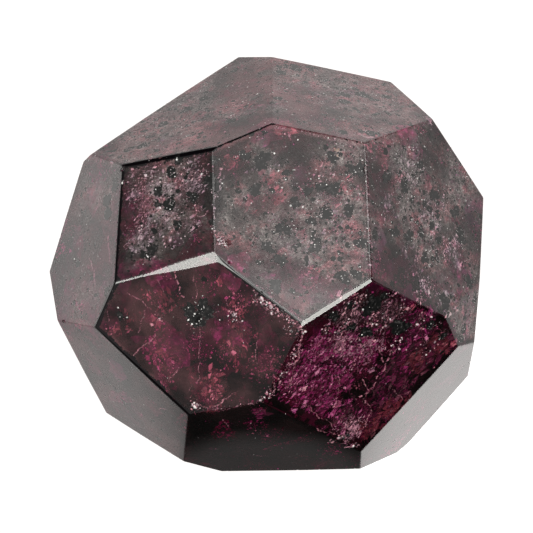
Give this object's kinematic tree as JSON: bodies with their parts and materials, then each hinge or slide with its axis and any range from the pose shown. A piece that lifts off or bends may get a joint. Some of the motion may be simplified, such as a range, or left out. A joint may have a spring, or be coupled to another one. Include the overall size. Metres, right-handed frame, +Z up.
{
  "type": "polished garnet crystal",
  "caption": "Hand-polished garnet crystal with many irregular flat faces, dark purplish red with sealed mineral grains; display or collection specimen.",
  "frame": {"origin": "middle of the base of the bounding box, on the surface that the stone rests on", "axes": "+Z up through the largest upper face, +X to the stone's right and -Y its front; the stone is lowest along Z"},
  "size_m": [0.04, 0.039, 0.0327],
  "materials": {
    "garnet": "polished, glassy, deep purplish red, nearly opaque with black and pale mineral grains inside"
  },
  "bodies": {
    "root": {"garnet_crystal": "garnet"}
  },
  "joints": []
}
